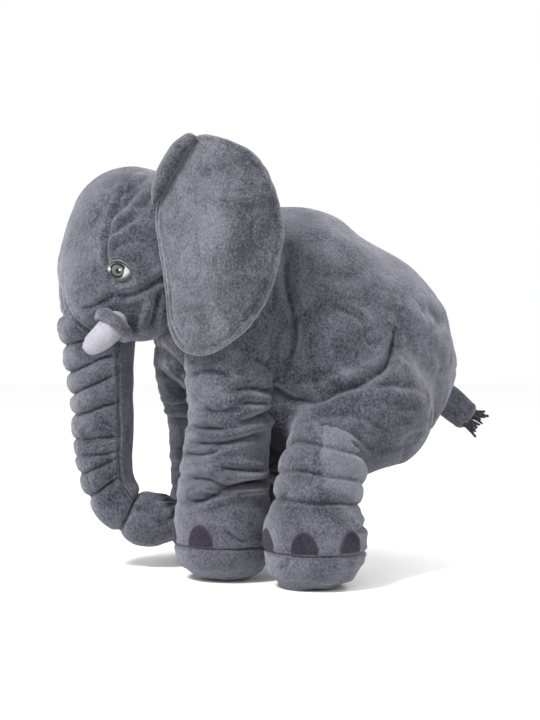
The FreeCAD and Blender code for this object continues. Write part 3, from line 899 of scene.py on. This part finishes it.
def ear_roll():
    """The ear's top front edge, folded out and over, as a soft roll that lies on the ear."""
    line = curve([(s, v, 0, wide, high) for s, v, wide, high in EAR_ROLL_PATH], EAR_ROLL_RINGS)
    along = np.gradient(line[:, :2], axis=0)
    along /= np.linalg.norm(along, axis=1)[:, None]
    side = np.stack([-along[:, 1], along[:, 0]], 1)
    angle = circle(EAR_ROLL_SEGMENTS)
    flat = line[:, None, :2] + side[:, None] * line[:, None, 3:4] * np.cos(angle)[None, :, None]
    lift = EAR_THICK + EAR_ROLL_LIFT + line[:, None, 4] * np.sin(angle)[None]
    points = ear_place(flat[..., 0].ravel(), flat[..., 1].ravel(), lift.ravel())
    quads = ring_quads(len(line), EAR_ROLL_SEGMENTS)
    skin = Skin(points, quads)
    skin.lump(16, 0.8, 54)
    # painted light and shade round the roll: lighter on its outer edge, darker in the crease where it lies
    # on the ear
    painted_light_and_trim = -0.15 + 0.3 * np.broadcast_to(np.cos(angle), (len(line), EAR_ROLL_SEGMENTS)).ravel()
    closed, faces = capped(skin.done(), quads, EAR_ROLL_SEGMENTS)
    return closed, faces, painted_light_and_trim


# ---------------- legs
LEG_SEGMENTS = 128
SOLE_SEAM = 38.0
FRONT_PATH = [
    (0, 20, 350, 4, 4), (0, 19, 346, 24, 26), (0, 17, 334, 36, 44), (0, 14, 308, 41, 53),
    (0, 12, 270, 42, 55), (0, 8, 235, 43.5, 53), (0, 6, 203, 45.5, 50), (0, 5, 173, 46, 46.5),
    (0, 1, 147, 46.5, 46.5), (0, -2, 110, 48, 48), (0, -3, 87, 49, 49.5), (0, -3, 55, 51.5, 52.5),
    (0, -3, 36, 51.5, 53), (0, -2.5, 22, 48.5, 50), (0, -2, 12, 42.5, 43.5), (0, -2, 5, 34.5, 35.5),
    (0, -2, 1.5, 26, 27), (0, -2, 0.3, 15, 15), (0, -2, 0, 4, 4),
]
# how far the right front leg is pushed in and forward: (height, in, forward)
LEAN = [
    (0, 0, 0), (87, 0, 0), (110, 1, 4), (147, 4, 11), (173, 8, 18), (203, 12, 25), (235, 17, 30),
    (270, 21, 25), (300, 22, 16), (350, 14, 6),
]
# folds on a front leg's outer side: (line of (y, z), width, depth)
FRONT_FOLDS = [
    ([(-46, 147), (-20, 146), (9, 150), (40, 158)], 3.4, 3.6),
    ([(-44, 163), (-20, 162), (-2, 161)], 2.6, 2.6), ([(4, 168), (26, 171), (52, 181)], 4.2, 4.0),
    ([(-52, 134), (-25, 136), (-6, 141)], 2.8, 2.8),
    ([(-56, 107), (-25, 109), (-10, 104), (18, 104), (50, 108)], 3.4, 3.4),
    ([(-14, 122), (10, 119), (40, 114)], 3.0, 2.4),
    ([(-56, 85), (-29, 88), (-9, 98), (14, 103), (50, 106)], 3.6, 4.6),
    ([(-2, 200), (20, 204), (50, 198)], 4.2, 2.8), ([(8, 190), (28, 188), (48, 188)], 3.0, 1.8),
    ([(-30, 96), (-14, 93), (6, 97)], 2.4, 1.8), ([(-10, 60), (4, 50), (16, 42)], 3.0, 1.6),
    ([(20, 238), (44, 228), (66, 236)], 5.0, 2.6), ([(-44, 216), (-20, 222), (4, 216)], 4.0, 1.8),
    ([(-30, 182), (-8, 180), (14, 184)], 4.0, 1.4),
]
HIND_PATH = [
    (95.6, 123.3, 178.7, 4, 4), (98.2, 121.4, 174.9, 22, 22), (103.4, 117.6, 167.3, 32, 32),
    (110.7, 112.3, 156.6, 39.5, 39.5), (119, 106, 144, 44, 44), (129, 99, 130, 46, 45.5),
    (140, 92, 107, 46.5, 46), (147, 87, 84, 47.5, 47), (151, 85, 58, 50, 51), (151.5, 85, 38, 50.5, 52),
    (151, 85, 22, 47.5, 49), (151, 85.5, 12, 41.5, 43), (151, 85.5, 5, 33.5, 35), (151, 86, 1.5, 25, 26),
    (151, 86, 0.3, 15, 15), (151, 86, 0, 4, 4),
]
HIND_BANDS = (154, 132, 110, 88)  # the heights of the stitches round a hind leg
HIND_RINGS, FRONT_RINGS = 230, 300
# the creases on a front leg's inner side: (height, tilt)
INNER_CREASES = ((88, 0.10), (107, -0.06), (135, 0.12), (160, -0.1), (186, 0.08), (214, -0.1))
# folds on the hind leg, as lines of (y, z)
KNEE_FOLD = [(92, 170), (91, 157), (85, 137), (78, 113), (75, 94)]
HEEL_FOLD = [(120, 60), (132, 62), (142, 66)]
SOLE_FOLD = [(44, 24), (52, 30), (54, 38)]
NAIL_ANGLES = (-57, 0, 57)
NAIL_HALF_WIDTH, NAIL_HEIGHT = 14.5, 23
NAIL_RINGS, NAIL_SEGMENTS = 7, 40
NAIL_ABOVE_SEAM = 1.5
FOOT_RADIUS = 50  # about; it turns a distance round a foot into an angle
HIND_TOES_TURN = 70  # degrees outward, for the nails of the hind feet
ON_LEG_REACH = 2.2  # how near a point of the leg has to be, to count in on_leg


def front_skin(lean):
    heights, inward, forward = np.array(LEAN, float).T * [[1], [lean], [lean]]
    path = [
        (FRONT_X + x - np.interp(z, heights, inward), y - np.interp(z, heights, forward), z, rx, ry)
        for x, y, z, rx, ry in FRONT_PATH
    ]
    points, quads, _ = tube(path, FRONT_RINGS, LEG_SEGMENTS)
    skin = Skin(points, quads)
    y, z = points[:, 1], points[:, 2]
    for line, width, depth in FRONT_FOLDS:
        skin.fold(line, width, 1.9 * depth, 0.5, facing=0.0)
    inner = smooth_step(0.3, -0.3, skin.normal[:, 0])
    for height, tilt in INNER_CREASES:
        d = z - height - tilt * (y - 5) + 3 * lumps(points, 30, 61)
        skin.groove(d, 3.2, 3.0, 0.5, keep=inner)
    foot_parts(skin, z, points)
    skin.lump(44, 1.8, 62)
    skin.lump(18, 0.9, 63)
    skin.wrinkle(24, 1.2, 64, (0.7, 0.7, 1.7), keep=smooth_step(60, 90, z))
    return skin


def foot_parts(skin, z, points):
    """The seam round the sole panel, with the panel puffed below it, and the gathers above it."""
    skin.groove(z - SOLE_SEAM - 2.0 * lumps(points, 30, 65), 1.7, 2.2, 0.5)
    skin.lift += 1.0 * np.exp(-((z - 24) / 9) ** 2) * smooth_step(4, 12, z)
    skin.lift += 2.2 * np.exp(-((z - 58) / 15) ** 2)


def hind_skin():
    points, quads, facts = tube(HIND_PATH, HIND_RINGS, LEG_SEGMENTS)
    skin = Skin(points, quads)
    y, z = points[:, 1], points[:, 2]
    level = curve(HIND_PATH, HIND_RINGS)[:, 2].repeat(LEG_SEGMENTS)
    out, back = np.sin(facts[:, 1]), np.cos(facts[:, 1])
    below_top = smooth_step(160, 150, level)
    for height in HIND_BANDS:
        arch = 7.0 * out * out
        d = level - height + arch * np.sign(out) - 3 * back + 1.5 * lumps(points, 20, 71)
        skin.stitch(d, 4.4, 0.8)
    skin.lift += 1.2 * smooth_step(80, 92, level) * below_top
    skin.fold(KNEE_FOLD, 1.8, 1.8, 0.45, open_ends=(0, 1))
    # painted light on the rear of the leg's upper outer side
    rear = smooth_step(84, 92, y) * smooth_step(88, 96, level)
    skin.painted_light_and_trim += 0.45 * rear * below_top * smooth_step(0, 0.4, out)
    foot_parts(skin, z, points)
    skin.fold(HEEL_FOLD, 3.0, 3.0, 0.5, facing=-0.2, open_ends=(1, 0))
    skin.fold(SOLE_FOLD, 2.2, 1.6, 0.4)
    skin.lump(40, 1.6, 72)
    skin.lump(16, 0.8, 73)
    skin.wrinkle(22, 0.9, 74, (0.8, 0.8, 1.5), keep=0.7)
    return skin


def on_leg(surface, middle, angle, height):
    """Points of a leg's own surface at these angles from straight ahead, and heights."""
    low = surface[surface[:, 2] < 110]
    rest = low - (middle[0], middle[1], 0)
    turn = np.arctan2(rest[:, 0], -rest[:, 1])
    reach = np.hypot(rest[:, 0], rest[:, 1])
    result = []
    for a, h in zip(angle, height):
        away = np.abs((turn - a + math.pi) % (2 * math.pi) - math.pi) * FOOT_RADIUS
        weight = np.exp(-(away**2 + (low[:, 2] - h) ** 2) / (2 * ON_LEG_REACH**2))
        r = (weight @ reach) / weight.sum()
        result.append((middle[0] + r * math.sin(a), middle[1] - r * math.cos(a), h))
    return np.array(result)


def nail(name, surface, middle, angle, body, sign, node):
    """A half-round satin patch with a padded rim, on the sole seam."""
    half = NAIL_SEGMENTS // 2
    turn = np.linspace(0, math.pi, half)
    arch = [(NAIL_HALF_WIDTH * math.cos(t), NAIL_HEIGHT * math.sin(t) ** 1.1) for t in turn]
    base = [(NAIL_HALF_WIDTH * (k / (half + 1) * 2 - 1), 0) for k in range(1, half + 1)]
    outline = np.array(arch + base)
    centre = np.array([0, NAIL_HEIGHT * 0.4])
    # (share of the outline, height above the leg): level, lower at the rim, then back into the leg
    layers = [(r / NAIL_RINGS, 1.4) for r in range(1, NAIL_RINGS)] + [(1, 0.5), (1.04, -2.0)]
    rows = []
    for share, lift in layers:
        flat = centre + share * (outline - centre)
        a = angle + flat[:, 0] / FOOT_RADIUS
        spot = on_leg(surface, middle, a, SOLE_SEAM + NAIL_ABOVE_SEAM + flat[:, 1])
        out = np.stack([np.sin(a), -np.cos(a), np.zeros(len(a))], 1)
        rows.append(spot + out * lift)
    points = np.concatenate(rows + [[rows[0].mean(0)], [rows[-1].mean(0)]])
    faces = closed_faces(len(layers), NAIL_SEGMENTS)
    rim = np.repeat([0.0] * (NAIL_RINGS - 1) + [1.4, 1.4], NAIL_SEGMENTS)
    item = build(name, points, faces, NAIL_CLOTH, body, painted_light_and_trim=rim, mirror=sign)
    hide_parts(node)


def legs():
    hind = hind_skin()
    # (kind, skins of the left and right leg, middle of the left foot, how far the nails turn out)
    kinds = (
        ("front", (front_skin(0), front_skin(1)), (FRONT_X, -3), 0),
        ("hind", (hind, hind), (151, 85), HIND_TOES_TURN),
    )
    for kind, skins, middle, toes in kinds:
        for (side, sign), skin in zip(SIDES, skins):
            surface = skin.done()
            surface[:, 2] = np.maximum(surface[:, 2], 0)
            closed, faces = capped(surface, skin.quads, LEG_SEGMENTS)
            body = f"{kind}_leg_{side}"
            nodes = [f"{kind}_leg_sleeve_{side}", f"{kind}_sole_{side}", f"{kind}_leg_filling_{side}"]
            build(f"{kind}_leg_{side}_cover", closed, faces, PLUSH, body, nodes, skin.painted_light_and_trim, sign)
            for k, angle in enumerate(NAIL_ANGLES):
                turn = math.radians(angle + toes)
                name, node = f"{kind}_nail_{side}_{k}", f"{kind}_toenails_{side}"
                nail(name, surface, middle, turn, body, sign, node)


# ---------------- tail
TAIL_PATH = [
    (0, 240, 203, 8, 8), (0, 246, 198, 13, 15), (0, 256, 189, 12.5, 17.5), (0, 267, 180, 11.5, 17.5),
    (0, 276, 172.5, 11, 16.5), (0, 282, 167.5, 10, 15), (0, 284, 166, 8, 12), (0, 282.5, 167, 5, 8),
]
TAIL_RINGS, TAIL_SEGMENTS = 70, 64
STRAND_COUNT = 14
STRAND_RINGS, STRAND_SEGMENTS = 26, 12
STRAND_ROOT = (0, 278, 170)


def tail():
    points, quads, _ = tube(TAIL_PATH, TAIL_RINGS, TAIL_SEGMENTS)
    skin = Skin(points, quads)
    skin.groove(abs(points[:, 0]), 1.5, 1.2, 0.3, keep=smooth_step(0.2, 0.6, abs(skin.normal[:, 1])))
    skin.lump(18, 0.9, 81)
    closed, faces = capped(skin.done(), quads, TAIL_SEGMENTS)
    build("tail_sleeve", closed, faces, PLUSH, "tail", ["tail_cover", "tail_filling"], skin.painted_light_and_trim)
    random = np.random.default_rng(82)
    down = np.array([0, 0.76, -0.65])
    side = np.array([0, 0.65, 0.76])
    all_points, all_faces = [], []
    for k in range(STRAND_COUNT):
        spread = (k / (STRAND_COUNT - 1) - 0.5) * 2
        across = random.uniform(-1, 1)
        start = np.array(STRAND_ROOT) + side * spread * 8 + np.array([across * 5, 0, 0])
        aim = down + side * (spread * 0.3 + 0.25) + np.array([across * 0.25, 0, 0])
        length = random.uniform(17, 25)
        bow = side * random.uniform(-5, 5) + np.array([random.uniform(-4, 4), 0, 0])
        thick = random.uniform(1.9, 2.8)
        path = []
        for t in np.linspace(0, 1, 6):
            radius = thick * (1.1 - 0.55 * t)
            path.append((*(start + aim * length * t + bow * t * t), radius, radius))
        strand, strand_quads, facts = tube(path, STRAND_RINGS, STRAND_SEGMENTS)
        strand_skin = Skin(strand, strand_quads)
        strand_skin.lift += 0.35 * np.sin(2 * facts[:, 1] + facts[:, 0] * 1.6)
        strand, strand_faces = capped(strand_skin.done(), strand_quads, STRAND_SEGMENTS)
        offset = sum(len(p) for p in all_points)
        all_points.append(strand)
        all_faces += [[i + offset for i in f] for f in strand_faces]
    build("tail_strands", np.concatenate(all_points), all_faces, YARN, "tail", ["tail_tassel"])


# ---------------- stage
CAMERA = (1591.2, -112.6, 233.0)  # millimetres in the modelling frame
CAMERA_AZIMUTH = 84.0
LENS = 70.8
FLOOR_REACH = 12.0


def area_light(name, place, aim, size, power):
    """A round white lamp that looks at a point."""
    light = bpy.data.lights.new(name, "AREA")
    light.shape = "DISK"
    light.size = size
    light.energy = power
    item = new_object(name, light)
    item.location = place
    gap = [a - p for a, p in zip(aim, place)]
    tilt = math.pi / 2 + math.atan2(gap[2], math.hypot(gap[0], gap[1]))
    item.rotation_euler = (tilt, 0, math.atan2(gap[1], gap[0]) - math.pi / 2)


def stage():
    mesh = bpy.data.meshes.new("floor")
    corners = [(-1, -1), (1, -1), (1, 1), (-1, 1)]
    mesh.from_pydata([(x * FLOOR_REACH, y * FLOOR_REACH, 0) for x, y in corners], [], [(0, 1, 2, 3)])
    floor = new_object("floor", mesh)
    material, _, shader = new_material("pale_floor")
    shader.inputs["Base Color"].default_value = (0.97, 0.97, 0.97, 1)
    shader.inputs["Roughness"].default_value = 0.8
    mesh.materials.append(material)
    world = bpy.data.worlds.new("soft_studio")
    world.use_nodes = True
    background = world.node_tree.nodes["Background"]
    background.inputs["Color"].default_value = (1.0, 1.0, 1.0, 1)
    background.inputs["Strength"].default_value = 1.0
    bpy.context.scene.world = world
    bpy.context.scene.view_settings.view_transform = "Standard"
    aim = (0, 0, 0.22)
    area_light("key", (1.3, -1.2, 1.9), aim, 0.5, 70)
    area_light("back", (-1.2, 1.4, 1.5), aim, 1.0, 26)
    camera = bpy.data.cameras.new("camera")
    camera.lens = LENS
    camera.sensor_width = 36
    camera.clip_end = 60
    item = new_object("camera", camera)
    x, y, z = CAMERA
    item.location = (x * MM, (y + SHIFT_Y) * MM, z * MM)
    item.rotation_euler = (math.pi / 2, 0, math.radians(CAMERA_AZIMUTH))
    bpy.context.scene.camera = item


torso()
head()
eyes()
tusks()
trunk()
ears()
legs()
tail()
stage()
